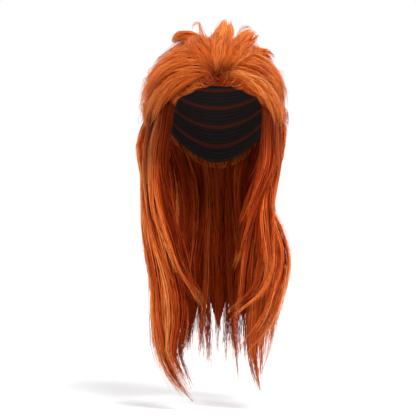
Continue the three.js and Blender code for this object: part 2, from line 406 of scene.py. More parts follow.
@dataclass(frozen=True)
class HeadForm:
    """The egg that the cap is cut for, with its top at the origin, and the hair's gap to it. Millimetres."""

    half_width: float = 77
    half_depth: float = 98
    crown: float = 95
    nape: float = 120
    hair_gap: float = 2.8

    LEAST_DEPTH = 0.01

    def _middle(self) -> Array:
        """The egg's middle, where its upper and lower halves meet."""
        return np.array([0, 0, -self.crown])

    def _halves(self, ray: Array) -> Array:
        """The egg's half sizes for rays from its middle, longer below than above."""
        tall = np.where(ray[..., 2] < 0, self.nape, self.crown)
        return np.stack(np.broadcast_arrays(self.half_width, self.half_depth, tall), axis=-1)

    def surface(self, azimuth: Array, polar: Array, lift: Array) -> tuple[Array, Array]:
        """Points over the head.

        A ray at the azimuth from the front and the polar angle from the top meets the egg, and the
        point is raised by lift along the egg's normal there.

        Args:
            azimuth: degrees from the front, + on the right.
            polar: degrees down from the top.
            lift: height over the head.

        Returns:
            The points and the outward normals.
        """
        down = np.radians(polar)[..., None]
        ray = towards(azimuth) * np.sin(down) + np.array([0, 0, 1]) * np.cos(down)
        half = self._halves(ray)
        reach = 1 / np.linalg.norm(ray / half, axis=-1, keepdims=True)
        normal = unit(ray / half**2)
        return ray * reach + self._middle() + normal * np.asarray(lift)[..., None], normal

    def clear(self, points: Array) -> Array:
        """Points that would lie in the head, pushed out along their rays.

        The egg is grown by the hair's gap, and a point inside it goes to where its ray from the egg's
        middle meets it.

        Args:
            points: places in the wig's frame.

        Returns:
            The points, none of them in the grown egg.
        """
        ray = points - self._middle()
        depth = np.linalg.norm(ray / (self._halves(ray) + self.hair_gap), axis=-1, keepdims=True)
        return ray / np.clip(depth, self.LEAST_DEPTH, 1) + self._middle()


HEAD = HeadForm()


class Spline:
    """A smooth curve through stations, read by its share of length."""

    SAMPLES = 40
    END_SAMPLES = 3

    def __init__(self, stations: Array) -> None:
        """Works out the curve.

        Between two stations the curve is a cubic whose slope at a station is the chord between its
        neighbours, with knots spaced by the square root of the chord's length.

        Args:
            stations: points from root to tip.
        """
        chords = np.sqrt(np.linalg.norm(np.diff(stations, axis=0), axis=1))
        knots = np.concatenate([[0], np.cumsum(chords)])
        slopes = np.gradient(stations, knots, axis=0)
        u = np.linspace(0, 1, self.SAMPLES, endpoint=False)[None, :, None]
        step = chords[:, None, None]
        start, end = stations[:-1, None], stations[1:, None]
        leave, arrive = slopes[:-1, None] * step, slopes[1:, None] * step
        cubic = start + (end - start) * ease(u) + leave * u * (1 - u) ** 2 - arrive * u**2 * (1 - u)
        self.points = np.concatenate([cubic.reshape(-1, 3), stations[-1:]])
        steps = np.linalg.norm(np.diff(self.points, axis=0), axis=1)
        self.length = float(steps.sum())
        self.shares = np.concatenate([[0], np.cumsum(steps)]) / self.length
        self.leaving = unit(self.points[self.END_SAMPLES] - self.points[0])
        self.ending = unit(self.points[-1] - self.points[-1 - self.END_SAMPLES])

    def at(self, t: Array) -> Array:
        """Points on the curve, which runs straight on before its root and past its tip.

        Args:
            t: shares of the length.

        Returns:
            The points.
        """
        inside = np.stack([np.interp(t, self.shares, axis) for axis in self.points.T], axis=-1)
        before = np.clip(t, None, 0)[..., None] * self.leaving
        past = np.clip(t - 1, 0, None)[..., None] * self.ending
        return inside + (before + past) * self.length


class Path(Protocol):
    """What a lock follows."""

    def run(self, t: Array) -> tuple[Array, Array]:
        """Centres and outward directions at shares t from root to tip."""


@dataclass(frozen=True)
class CrownPath:
    """A sweep over the head that lifts as it goes."""

    azimuth: Range
    polar: tuple[float, float, float]
    lift: tuple[float, float, float]

    def run(self, t: Array) -> tuple[Array, Array]:
        """The azimuth runs evenly, and polar angle and lift bend between their three values."""
        azimuth = self.azimuth[0] + (self.azimuth[1] - self.azimuth[0]) * t
        return HEAD.surface(azimuth, bend(self.polar, t), bend(self.lift, t))


@dataclass(frozen=True)
class FallPath:
    """A long lock through stations, whose flat side turns from one facing to another."""

    facing: Range
    stations: tuple[tuple[float, float, float], ...]

    def run(self, t: Array) -> tuple[Array, Array]:
        """A smooth curve through the stations, with the facing turning evenly."""
        centres = Spline(np.array(self.stations, dtype=float)).at(t)
        return centres, towards(np.interp(t, (0, 1), self.facing))


@dataclass(frozen=True)
class BackPath:
    """A lock that leaves the back of the head and hangs along an outline, or in front of it, to its tip.

    roots are polar angles with lifts over the head, and the outline has levels with half widths and depths.
    """

    azimuth: float
    tip: tuple[float, float, float]
    roots: tuple[Range, ...] = ((74, 8), (97, 16))
    inset: float = 0.0
    outline: tuple[tuple[float, float, float], ...] = ((-180, 78, 110), (-250, 78, 98), (-330, 88, 92))

    def run(self, t: Array) -> tuple[Array, Array]:
        """A smooth curve through the roots over the head, a point on each level's ellipse, and the tip.

        Args:
            t: shares from root to tip.

        Returns:
            The centres, and the way that the lock faces.
        """
        polar, lift = np.array(self.roots, dtype=float).T
        start, _ = HEAD.surface(np.full_like(polar, self.azimuth), polar, lift)
        level, half_width, half_depth = np.array(self.outline, dtype=float).T
        out = towards(np.full_like(level, self.azimuth))
        hanging = np.stack([out[:, 0] * half_width, out[:, 1] * (half_depth - self.inset), level], axis=-1)
        stations = np.concatenate([start, hanging, np.array([self.tip], dtype=float)])
        return Spline(stations).at(t), towards(np.full_like(t, self.azimuth))


@dataclass(frozen=True)
class Form:
    """How a lock swells from its root and narrows to its tip, as shares of its full width."""

    root: float
    full_at: float
    tip: float
    tip_power: float

    def share(self, t: Array) -> Array:
        """A smooth rise to 1 at full_at, then a power fall to the tip's share.

        Args:
            t: shares of the lock's length.

        Returns:
            The shares of its full width.
        """
        rise = self.root + (1 - self.root) * ease(np.clip(t / self.full_at, 0, 1))
        past = np.clip((t - self.full_at) / (1 - self.full_at), 0, 1)
        return rise * (1 - (1 - self.tip) * past**self.tip_power)


TEASED_FORM = Form(root=0.6, full_at=0.45, tip=0.6, tip_power=2.2)
SPIKE_FORM = Form(root=1.0, full_at=0.3, tip=0.3, tip_power=1.9)
FAN_FORM = Form(root=0.7, full_at=0.6, tip=0.7, tip_power=2.4)
LONG_FORM = Form(root=0.95, full_at=0.3, tip=0.2, tip_power=3.0)
FEATHER_FORM = Form(root=0.95, full_at=0.3, tip=0.4, tip_power=2.4)
CURTAIN_FORM = Form(root=1.0, full_at=0.3, tip=0.95, tip_power=2.6)


@dataclass(frozen=True)
class Texture:
    """How the fibres of a lock lie. Lengths are in millimetres.

    Fibres cover an arc of the lock's oval section, in degrees with 90 outwards. They gather into
    clumps towards the tip, sway around the lock, wave and shake, each in step with its clump but for
    a share, loose. flick is the range by which ends turn outwards and curl how far they turn sideways.
    starts is the share of the lock over which fibres begin, ends the range where clumps stop, and taper
    the share over which the fibres of one clump do.
    Clumps differ in tone by streaks and fibres by grain, and the top of a lock's section is painted lighter
    and its sides darker by relief, as painted light and shade. core is the core's share of the lock's
    section and of its length. plump scales the lock's width and thickness.
    As painted light and shade, fibres on the side away from the wig's middle are lighter by
    painted_side_shading, and on the other side as much darker.
    The dark root, partly the hair's own colour and partly painted shade, runs further down where shade is
    higher.
    """

    form: Form
    hair: Hair
    strands: int
    rings: int
    fibre: Range
    clumps: int
    sway: float
    wave: float
    wave_length: float
    loose: float
    frizz: float
    stray: float
    curl: float
    grain: float
    starts: float
    ends: Range
    streaks: float
    relief: float
    gather: float = 0.5
    arc: Range = (0, 360)
    flick: Range = (0, 0)
    core: Range = (0.0, 0.0)
    plump: Range = (1.0, 1.0)
    painted_side_shading: float = 0.0
    # Painted light and shade: the outer side lighter, the inner side darker.
    taper: float = 0.0
    # How far the dark root runs down, as painted shade.
    shade: float = 1.0


# In each texture, relief is painted light and shade across a lock's section.
TEASED = Texture(
    TEASED_FORM, Hair.CROWN, strands=390, rings=9, fibre=(0.5, 1.15), clumps=30, arc=(-30, 210), sway=0.28,
    wave=2.0, wave_length=85, loose=0.6, frizz=0.035, stray=0.05, flick=(-9, 2), curl=9, grain=0.07,
    starts=0.62, ends=(0.68, 1.04), streaks=0.09, relief=0.17, core=(0.72, 0.86), plump=(0.86, 1.08),
)
# Layered locks: a shorter dark root, so less painted shade at the roots.
LAYERED = replace(
    TEASED, strands=330, fibre=(0.6, 1.3), clumps=26, arc=(-70, 250), wave=2.2, wave_length=95, frizz=0.03,
    stray=0.04, flick=(-15, -2), curl=7, starts=0.45, ends=(0.7, 1.36), streaks=0.1, relief=0.14,
    core=(0.54, 0.86), plump=(1.02, 1.05), shade=0.6,
)
QUIFFED = replace(
    TEASED, strands=400, fibre=(0.5, 1.1), clumps=22, arc=(-40, 220), sway=0.24, wave=1.8, wave_length=48,
    frizz=0.03, stray=0.04, flick=(-4, 4), curl=7, grain=0.05, starts=0.3, ends=(0.74, 1.18), streaks=0.07,
    relief=0.12, core=(0.7, 0.9), plump=(0.95, 1.08),
)
SPIKED = Texture(
    SPIKE_FORM, Hair.CROWN, strands=300, rings=9, fibre=(0.6, 1.2), clumps=12, sway=0.14, wave=0.8,
    wave_length=36, loose=0.4, frizz=0.02, stray=0.03, flick=(-3, 1), curl=3, grain=0.07, starts=0.3,
    ends=(0.86, 1.0), streaks=0.08, relief=0.08, core=(0.6, 0.9), plump=(1.0, 1.1),
)
# The long falls get painted side light and shade: outer side lighter, inner side darker.
SMOOTH = Texture(
    LONG_FORM, Hair.LONG, strands=285, rings=18, fibre=(0.8, 1.65), clumps=18, gather=0.7, sway=0.3,
    wave=1.8, wave_length=170, loose=0.3, frizz=0.004, stray=0.03, curl=3, grain=0.09, starts=0.14,
    ends=(0.9, 1.0), streaks=0.18, relief=0.1, core=(0.8, 0.95), plump=(1.05, 1.08), painted_side_shading=0.17, taper=0.05,
)
FEATHERED = replace(
    SMOOTH, form=FEATHER_FORM, gather=0.85, curl=7, ends=(0.76, 1.08), core=(0.78, 0.8), taper=0.16,
)
CURTAIN = replace(
    SMOOTH, form=CURTAIN_FORM, strands=310, rings=10, fibre=(0.8, 1.7), clumps=20, gather=0.75, sway=0.24,
    wave=2.2, curl=5, starts=0.2, ends=(0.9, 1.05), streaks=0.15, core=(0.78, 0.88), plump=(1.28, 1.0),
    painted_side_shading=0.0, taper=0.06,
)
THIN = Texture(
    LONG_FORM, Hair.LONG, strands=46, rings=12, fibre=(0.5, 1.0), clumps=4, sway=0.2, wave=0.8,
    wave_length=110, loose=0.4, frizz=0.015, stray=0.05, curl=1, grain=0.08, starts=0.3, ends=(0.88, 1.02),
    streaks=0.08, relief=0.05,
)
WISPY = replace(
    THIN, hair=Hair.CROWN, strands=12, rings=16, fibre=(0.35, 0.7), clumps=3, gather=0.4, wave=0.5,
    wave_length=60, loose=0.6, frizz=0.02, stray=0.1, grain=0.06, ends=(0.85, 1.0), streaks=0.1, relief=0.0,
)

# Textures by the start of a lock's name, where the first row that fits counts
TEXTURES: tuple[tuple[tuple[str, ...], Texture], ...] = (
    (("fall_left_inner", "fall_right_outer", "fall_right_flick", "fall_right_inner"), FEATHERED),
    (("fall_right_strand", "back_left_strand", "back_right_strand"), THIN),
    (("fall",), SMOOTH),
    (("back",), CURTAIN),
    (("layer", "crown_back", "crown_side"), LAYERED),
    (("crown", "wing"), TEASED),
    (("quiff",), QUIFFED),
    (("spike_left_wisp",), replace(WISPY, form=SPIKE_FORM, strands=18)),
    (("spike_right", "spike_far_right"), replace(SPIKED, form=FAN_FORM)),
    (("spike",), SPIKED),
    (("wisp_left_low",), replace(WISPY, strands=16)),
    (("wisp_right_low",), replace(WISPY, strands=40)),
    (("wisp",), WISPY),
)
RUFFLED = (TEASED, LAYERED, QUIFFED)


@dataclass(frozen=True)
class Spine:
    """A lock's line from root to past the tip, in samples at shares t of its length.

    A sample has the centre, the directions across and out of the flat side, half the width and half the
    thickness.
    """

    t: Array
    samples: Array
    length: float

    def at(self, t: Array) -> tuple[Array, Array, Array, Array, Array]:
        """Reads the line, by straight lines between samples.

        Args:
            t: shares of the lock's length.

        Returns:
            Centres, directions across and out, half widths and half thicknesses.
        """
        read = np.stack([np.interp(t, self.t, column) for column in self.samples.T], axis=-1)
        centre, across, flat, half = np.split(read, (3, 6, 9), axis=-1)
        return centre, across, flat, half[..., 0], half[..., 1]


@dataclass(frozen=True)
class Tubes:
    """Closed tubes with their places on the map.

    rings are points by tube, ring and side. u is the place across the map by tube and side, with one more
    where the tube closes, and v is the place along it by tube and ring.
    """

    rings: Array
    u: Array
    v: Array

    EDGE = 0.02

    @staticmethod
    def strip(tone: Array, sides: int, width: float, skip: int = 1) -> Array:
        """Places across the map in a strip about each tone. A side steps skip places, to make streaks."""
        places = np.arange(sides + 1) * skip % (sides + 1) / sides - 0.5
        return tone[:, None] + places * width

    @staticmethod
    def inset(along: Array, edge: float = EDGE) -> Array:
        """Places along the map from shares, kept off its ends by an edge."""
        return edge + (1 - 2 * edge) * along


class MeshParts:
    """Vertices, faces and map points that are gathered for one mesh."""

    LID = 0.006

    def __init__(self) -> None:
        """Starts empty."""
        self.vertices: list[Array] = []
        self.corners: list[Array] = []
        self.sizes: list[Array] = []
        self.map: list[Array] = []
        self.count = 0

    def add(self, tubes: Tubes) -> None:
        """Adds closed tubes.

        Each tube is a row of rings joined by four-cornered faces. A face over each end is a small disc on
        the map.

        Args:
            tubes: the tubes and their places on the map.
        """
        count, steps, sides, _ = tubes.rings.shape
        index = self.count + np.arange(count * steps * sides).reshape(count, steps, sides)
        after = np.roll(index, -1, axis=2)
        quads = np.stack([index[:, :-1], after[:, :-1], after[:, 1:], index[:, 1:]], axis=-1)
        v = np.broadcast_to(tubes.v, (count, steps))
        left, right = tubes.u[:, None, :-1], tubes.u[:, None, 1:]
        low, high = v[:, :-1, None], v[:, 1:, None]
        around = ((left, low), (right, low), (right, high), (left, high))
        quad_map = np.stack([np.stack(np.broadcast_arrays(*pair), axis=-1) for pair in around], axis=-2)
        lids = np.concatenate([index[:, 0, ::-1], index[:, -1]])
        middle = np.stack([np.tile(tubes.u.mean(axis=1), 2), np.concatenate([v[:, 0], v[:, -1]])], axis=-1)
        disc = np.stack([np.cos(turns(sides)), np.sin(turns(sides))], axis=-1) * self.LID
        self.vertices.append(tubes.rings.reshape(-1, 3))
        self.corners += [quads.reshape(-1), lids.reshape(-1)]
        self.sizes += [np.full(quads.size // 4, 4), np.full(len(lids), sides)]
        self.map += [quad_map.reshape(-1, 2), (middle[:, None] + disc).reshape(-1, 2)]
        self.count += index.size

    def mesh(self, name: str) -> bpy.types.Mesh:
        """Puts the gathered parts into a mesh in metres.

        Args:
            name: the mesh's name.

        Returns:
            The smooth-shaded mesh with its map.
        """
        corners = np.concatenate(self.corners).astype(np.int32)
        sizes = np.concatenate(self.sizes).astype(np.int32)
        starts = (np.cumsum(sizes) - sizes).astype(np.int32)
        mesh = bpy.data.meshes.new(name)
        mesh.vertices.add(self.count)
        mesh.loops.add(len(corners))
        mesh.polygons.add(len(sizes))
        mesh.vertices.foreach_set("co", (np.concatenate(self.vertices) * MM).astype(np.float32).ravel())
        mesh.loops.foreach_set("vertex_index", corners)
        mesh.polygons.foreach_set("loop_start", starts)
        mesh.polygons.foreach_set("use_smooth", np.ones(len(sizes), dtype=bool))
        mesh.update(calc_edges=True)
        layer = mesh.uv_layers.new(name=PALETTE_MAP)
        layer.data.foreach_set("uv", np.concatenate(self.map).astype(np.float32).ravel())
        return mesh


def put(name: str, data: bpy.types.ID) -> bpy.types.Object:
    """Links a new object with that data to the scene.

    Args:
        name: the object's name.
        data: its mesh, light or camera.

    Returns:
        The object.
    """
    item = bpy.data.objects.new(name, data)
    bpy.context.scene.collection.objects.link(item)
    return item


def show(name: str, tubes: Iterable[Tubes], material: bpy.types.Material, slot: str, *nodes: str) -> None:
    """Puts tubes into the scene as a piece of the wig.

    Args:
        name: the piece's name.
        tubes: what its mesh is made of, in place.
        material: its finish.
        slot: the record's slot; not used.
        nodes: the frame's nodes that it stands for.
    """
    parts = MeshParts()
    for some in tubes:
        parts.add(some)
    mesh = parts.mesh(name)
    mesh.materials.append(material)
    piece = put(name, mesh)
    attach(piece, BODY)
    if nodes:
        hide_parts(*nodes)
    LOG.info("%s: %d faces", name, len(mesh.polygons))


@dataclass(frozen=True)
class Fibre:
    """The flat section of a fibre, its width as shares of the full one, and its strip on the map."""

    sides: int = 3
    flatness: float = 0.6
    root: float = 0.6
    full_at: float = 1 / 6
    tip: float = 0.25
    tip_power: int = 4
    strip: float = 0.012

    def share(self, u: Array) -> Array:
        """The width at u along a fibre: drawn in at the root, and thin at the tip by a power."""
        rise = self.root + (1 - self.root) * np.minimum(1, u / self.full_at)
        return rise * (1 - (1 - self.tip) * u**self.tip_power)

    def tubes(self, line: Array, outward: Array, width: Array, tone: Array, along: Array) -> Tubes:
        """Closed tubes along fibres.

        A ring lies on a flattened circle square to the fibre. On the map a fibre is a narrow upright
        strip: its tone across and its length along.

        Args:
            line: points by fibre and ring.
            outward: the direction that the fibre's flat side faces, by fibre and ring.
            width: each fibre's full width.
            tone: each fibre's place across the map.
            along: each ring's share along the map.

        Returns:
            The tubes.
        """
        heading = unit(np.gradient(line, axis=1))
        facing = square_to(heading, outward)
        sideways = np.cross(facing, heading)
        turn = turns(self.sides)[:, None] + np.pi / 2
        ring = sideways[:, :, None] * np.cos(turn) + facing[:, :, None] * self.flatness * np.sin(turn)
        half = width[:, None] / 2 * self.share(np.linspace(0, 1, line.shape[1]))
        rings = line[:, :, None] + ring * half[:, :, None, None]
        return Tubes(rings, Tubes.strip(tone, self.sides, self.strip), Tubes.inset(along))


FIBRE = Fibre()


@dataclass(frozen=True)
class Core:
    """The ridged, streaked and matt inside of a lock, dark as painted shade.

    It swells from a share, root, of its size and closes to a point. Its sides' tones lie within streaks
    about a low tone, painted shade, and root_stain_and_shade is how far it runs along the map into the dark
    root, also painted shade.
    """

    sides: int = 28
    rings: int = 16
    root: float = 0.4
    swell: float = 4
    close_power: int = 4
    point: float = 0.02
    ridge: float = 0.06
    # A low tone, so that the inside of the lock is painted shade.
    tone: float = 0.27
    streaks: float = 0.32
    skip: int = 11
    # How far along the map the core runs, into the dark root: painted shade.
    root_stain_and_shade: float = 0.4

    def tubes(self, spine: Spine, size: float, end: float) -> Tubes:
        """The lock's own oval sections, drawn in, ridged and closed to a point at the end.

        Args:
            spine: the lock's line.
            size: the core's share of the lock's section.
            end: its share of the lock's length.

        Returns:
            One tube.
        """
        v = np.linspace(0, 1, self.rings)
        centre, across, flat, half_width, half_thick = spine.at(end * v)
        drawn = (1 - v**self.close_power) * np.minimum(1, self.root + self.swell * v)
        close = size * np.maximum(self.point, drawn)[:, None]
        turn = turns(self.sides)
        ridge = 1 + self.ridge * (-1.0) ** np.arange(self.sides)
        wide = half_width[:, None] * close * np.cos(turn) * ridge
        deep = half_thick[:, None] * close * np.sin(turn) * ridge
        rings = centre[:, None] + across[:, None] * wide[..., None] + flat[:, None] * deep[..., None]
        # Painted shade: dark tones, and a map that stays in the dark root.
        u = Tubes.strip(np.array([self.tone]), self.sides, self.streaks, self.skip)
        return Tubes(HEAD.clear(rings)[None], u, Tubes.inset(v[None] * self.root_stain_and_shade))


CORE = Core()


@dataclass(frozen=True)
class Scatter:
    """How far clumps and fibres differ in any lock, as shares of its sizes; flick is in millimetres.

    A clump lies within place in its slice of the arc and within radius out from the line, and further out
    by late where it begins late. Its fibres lie apart by spread of a slice and by fibre_radius, and
    fibre_start is their own part of where they begin. Ends differ by end, short fibres lose up to cut, and
    none is shorter than least. Fibres drift out within drift, and strays within stray. swing and waves
    scale the sway and the wave's length, and shake and wave are full from shaken_at and waved_at along.
    As painted light and shade, a fibre is lighter above painted_crest_light and darker below it, and tones
    stay within tones. A power above 1 keeps most draws low, or holds a change back towards the tip.
    """

    place: Range = (0.1, 0.9)
    radius: Range = (0.72, 0.92)
    late: float = 0.14
    start_power: float = 1.5
    spread: float = 0.5
    gather_power: float = 1.5
    fibre_radius: Range = (-0.18, 0.08)
    fibre_start: float = 0.35
    fibre_start_power: float = 2
    end: float = 0.03
    cut: float = 0.35
    cut_power: float = 5
    least: float = 0.25
    stray: Range = (0.15, 0.5)
    drift: Range = (-0.06, 0.06)
    drift_power: float = 1.5
    curl_power: float = 2.5
    flick: float = 0.8
    flick_power: float = 3
    swing: Range = (0.5, 1.0)
    waves: Range = (0.8, 1.25)
    shaken_at: float = 1 / 3
    waved_at: float = 1 / 2
    # Where painted light turns to painted shade across a lock's section.
    painted_crest_light: float = 0.6
    tones: Range = (0.12, 0.88)


SCATTER = Scatter()


@dataclass(frozen=True)
class Lock:
    """One lock of hair: a core dark as painted shade, wrapped in fibres that gather into clumps."""

    name: str
    path: Path
    width: float
    thick: float
    tone: float = 0.5
    # How far the dark root runs down this lock, as painted shade.
    shade: float = 1.0
    added: bool = False

    SPINE_SAMPLES = 120
    ROOT = -0.07
    REACH = 1.4

    @property
    def texture(self) -> Texture:
        """The texture in the first row that has a start of the lock's name."""
        return next(texture for starts, texture in TEXTURES if self.name.startswith(starts))

    def spine(self) -> Spine:
        """The lock's line.

        The path's outward direction is made square to the line, and the across direction is square
        to both.

        Returns:
            The sampled line.
        """
        look = self.texture
        t = np.linspace(self.ROOT, self.REACH, self.SPINE_SAMPLES)
        centre, out = self.path.run(t)
        along = unit(np.gradient(centre, t, axis=0))
        flat = square_to(along, out)
        sizes = np.array([self.width, self.thick]) * look.plump / 2 * look.form.share(t)[:, None]
        length = np.linalg.norm(np.diff(centre, axis=0), axis=1).sum() / (self.REACH - self.ROOT)
        return Spine(t, np.column_stack([centre, np.cross(flat, along), flat, sizes]), float(length))

    def fibres(self, spine: Spine, rng: np.random.Generator) -> Tubes:
        """The fibres around the core.

        A clump has an angle and a radius in the lock's oval section. Its fibres spread about that
        angle and gather towards the clump's tip, while the angle sways as a slow sine wave. A second
        wave moves the fibre both ways across, the ends curl and flick by powers of the share along,
        and stray fibres drift out of the lock. Tones are painted lighter at the top of the section and on
        the outer side, and darker below and on the inner side, as painted light and shade. The place along
        the map is a power, shade, of the share along the lock, so that the dark root runs further down a
        lock as painted shade.

        Args:
            spine: the lock's line.
            rng: the lock's own random source.

        Returns:
            A tube for each fibre.
        """
        look, vary = self.texture, SCATTER
        count, clumps = look.strands, look.clumps
        clump = np.arange(count) % clumps
        low, high = np.radians(look.arc)
        place = (rng.permutation(clumps) + rng.uniform(*vary.place, clumps)) / clumps
        clump_angle = low + (high - low) * place
        clump_begin = rng.random(clumps) ** vary.start_power
        clump_radius = rng.uniform(*vary.radius, clumps) + vary.late * clump_begin
        clump_end = rng.uniform(*look.ends, clumps)
        clump_tone = rng.normal(0, look.streaks, clumps)
        clump_flick = rng.uniform(*look.flick, clumps)
        clump_curl = rng.uniform(-look.curl, look.curl, clumps)
        clump_phase = rng.uniform(0, 2 * np.pi, (3, clumps))

        spread = rng.normal(0, vary.spread * (high - low) / clumps, count)
        radius = clump_radius[clump] + rng.uniform(*vary.fibre_radius, count)
        own_begin = vary.fibre_start * rng.random(count) ** vary.fibre_start_power
        begin = self.ROOT + look.starts * ((1 - vary.fibre_start) * clump_begin[clump] + own_begin)
        end = clump_end[clump] + rng.normal(0, vary.end, count)
        short = rng.random(count)
        end = end - vary.cut * short**vary.cut_power - look.taper * short
        end = np.clip(end, begin + vary.least, max(1.0, look.ends[1]))
        phase = (clump_phase[:, clump] + rng.normal(0, look.loose, (3, count)))[..., None]
        strays = rng.random(count) < look.stray
        drift = np.where(strays, rng.uniform(*vary.stray, count), rng.uniform(*vary.drift, count))[:, None]
        flick = (clump_flick[clump] + rng.normal(0, vary.flick, count))[:, None]
        curl = clump_curl[clump][:, None]
        swing = look.sway * rng.uniform(*vary.swing, count)[:, None]
        waves = 2 * np.pi * spine.length / (look.wave_length * rng.uniform(*vary.waves, count)[:, None])

        u = np.linspace(0, 1, look.rings)[None]
        t = begin[:, None] + (end - begin)[:, None] * u
        centre, across, flat, half_width, half_thick = spine.at(t)
        shake = rng.normal(0, look.frizz, (2, count, look.rings)) * np.minimum(1, u / vary.shaken_at)
        apart = spread[:, None] * (1 - look.gather * u**vary.gather_power)
        sway = swing * np.sin(2 * np.pi * t + phase[0])
        angle = clump_angle[clump][:, None] + apart + shake[0] + sway
        reach = radius[:, None] + drift * u**vary.drift_power + shake[1]
        wave = look.wave * np.minimum(1, u / vary.waved_at)
        wide = half_width * reach * np.cos(angle) + wave * np.sin(waves * t + phase[1])
        wide = wide + curl * u**vary.curl_power
        deep = half_thick * reach * np.sin(angle) + wave * np.sin(waves * t + phase[2])
        deep = deep + flick * u**vary.flick_power
        line = HEAD.clear(centre + across * wide[..., None] + flat * deep[..., None])
        outward = across * np.cos(angle)[..., None] + flat * np.sin(angle)[..., None]
        width = rng.uniform(*look.fibre, count)
        # Painted light and shade: lighter at the top of the section, darker at its sides.
        painted_crest_light = np.sin(clump_angle[clump] + spread) - vary.painted_crest_light
        # Painted side light and shade: how far out from the wig's middle each fibre lies.
        aside = np.mean((line - centre)[..., 0] * np.sign(centre[..., 0]), axis=1) * 2 / self.width
        tone = self.tone + clump_tone[clump] + rng.normal(0, look.grain, count)
        tone = np.clip(tone + look.relief * painted_crest_light + look.painted_side_shading * aside, *vary.tones)
        # Painted shade: shade stretches the dark root further down the lock.
        along = ((t - self.ROOT) / (1 - self.ROOT)) ** (self.shade * look.shade)
        return FIBRE.tubes(line, outward, width, tone, along * (1 - self.ROOT) / (self.REACH - self.ROOT))

    def build(self, materials: Mapping[Hair, bpy.types.Material]) -> None:
        """Makes the lock's core and fibres and shows them.

        Args:
            materials: the finish of each kind of hair.
        """
        look, spine = self.texture, self.spine()
        tubes = [CORE.tubes(spine, *look.core)] if any(look.core) else []
        tubes.append(self.fibres(spine, np.random.default_rng(seed_of(self.name))))
        nodes = () if self.added else (self.name,)
        show(f"{self.name}_fibres", tubes, materials[look.hair], look.hair.value, *nodes)


@dataclass(frozen=True)
class Cap:
    """The stretch-net cap: one wall with weft ridges, swept around the head.

    hole is the share of the way down at which a small face closes the wall at the crown.
    """

    wall: float = 2.0
    sectors: int = 112
    rings: int = 44
    wefts: int = 14
    ridge: float = 0.3
    ridge_power: int = 3
    hole: float = 0.012
    map_edge: float = 0.01
    edge_azimuth: tuple[float, ...] = (0, 42, 62, 80, 105, 180)
    edge_polar: tuple[float, ...] = (47, 56, 78, 97, 93, 120)

    def edge(self, azimuth: Array) -> Array:
        """The polar angle of the cap's edge, eased between its table's rows.

        Args:
            azimuth: degrees from the front.

        Returns:
            Degrees down from the top.
        """
        rows = np.array(self.edge_azimuth, dtype=float)
        place = np.interp(np.abs(azimuth), rows, np.arange(len(rows)))
        row = np.minimum(place.astype(int), len(rows) - 2)
        polar = np.array(self.edge_polar, dtype=float)
        return polar[row] + (polar[row + 1] - polar[row]) * ease(place - row)

    def build(self, material: bpy.types.Material) -> None:
        """Makes the wall as a tube that is closed around the head.

        At each azimuth the outline goes down the outside and up the inside, and each weft is a low
        ridge on the inside. The map unrolls it: azimuth across, and down the outline along.

        Args:
            material: the net's finish.
        """
        azimuth = np.linspace(180, -180, self.sectors, endpoint=False)[None]
        share = np.linspace(self.hole, 1, self.rings)[:, None]
        polar = share * self.edge(azimuth)
        around = np.broadcast_to(azimuth, polar.shape)
        outside, _ = HEAD.surface(around, polar, np.full_like(polar, self.wall))
        waves = np.maximum(0, np.sin(2 * np.pi * self.wefts * share))
        ridges = self.ridge * waves**self.ridge_power
        inside, _ = HEAD.surface(around, polar, np.broadcast_to(ridges, polar.shape))
        outline = np.concatenate([outside, inside[::-1]])
        u = np.linspace(1, 0, self.sectors + 1)
        v = Tubes.inset(np.linspace(0, 1, len(outline)), self.map_edge)
        show("wig_cap_net", [Tubes(outline[None], u[None], v[None])], material, "cap_net", "wig_cap")


@dataclass(frozen=True)
class FineHair:
    """Single fine fibres that have no solid. Degrees and millimetres."""

    count: int
    rings: int
    fibre: Range

    TONES = (0.1, 0.9)

    def _start(self, name: str) -> tuple[np.random.Generator, tuple[int, int], Array]:
        """The fibres' random source, the shape of a draw for each of them, and shares along them."""
        return np.random.default_rng(seed_of(name)), (self.count, 1), np.linspace(0, 1, self.rings)[None]


@dataclass(frozen=True)
class Hairline(FineHair):
    """Short fine fibres along the cap's front edge, which hide it.

    Near the parting, fibres are darker by parting, as painted shade, start further back by parting_back and
    hang lower by a share, parting_hang.
    """

    count: int = 620
    rings: int = 8
    fibre: Range = (0.5, 1.1)
    half_span: float = 74
    aside: float = 0.12
    run: Range = (14, 34)
    hang: Range = (0, 8)
    hang_from: float = 0.25
    rise: Range = (4, 12)
    rise_power: float = 1.6
    root_lift: Range = (0.6, 3.0)
    tip_lift: Range = (5, 12)
    tone: float = 0.46
    grain: float = 0.11
    # How much darker near the parting: painted shade.
    parting: float = 0.24
    parting_width: float = 16
    parting_back: float = 6
    parting_hang: float = 0.5

    def build(self, cap: Cap, material: bpy.types.Material) -> None:
        """Makes the fibres as one mesh.

        A fibre starts on the edge and runs along it to its own side, hanging a little below it. Then
        it rises over the locks, lifting off the head as it goes. How near a fibre is to the parting in
        the middle is a bell curve.

        Args:
            cap: the cap whose edge they follow.
            material: the fibre's finish.
        """
        rng, each, u = self._start("hairline")
        start = rng.uniform(-self.half_span, self.half_span, each)
        aside = np.sign(start) + rng.normal(0, self.aside, each)
        near = np.exp(-((start / self.parting_width) ** 2))
        azimuth = start + aside * (rng.uniform(*self.run, each) * u - self.parting_back * near)
        hang = rng.uniform(*self.hang, each) * np.sin(np.pi * np.minimum(1, self.hang_from + u))
        hang = hang * (1 + self.parting_hang * near)
        polar = cap.edge(azimuth) + hang - rng.uniform(*self.rise, each) * u**self.rise_power
        lift = rng.uniform(*self.root_lift, each) + rng.uniform(*self.tip_lift, each) * u
        line, outward = HEAD.surface(azimuth, polar, lift)
        width = rng.uniform(*self.fibre, self.count)
        # Painted shade: darker near the parting.
        tone = rng.normal(self.tone, self.grain, self.count) - self.parting * near[:, 0]
        tubes = FIBRE.tubes(line, outward, width, np.clip(tone, *self.TONES), u)
        show("hairline_fibres", [tubes], material, Hair.CROWN.value)


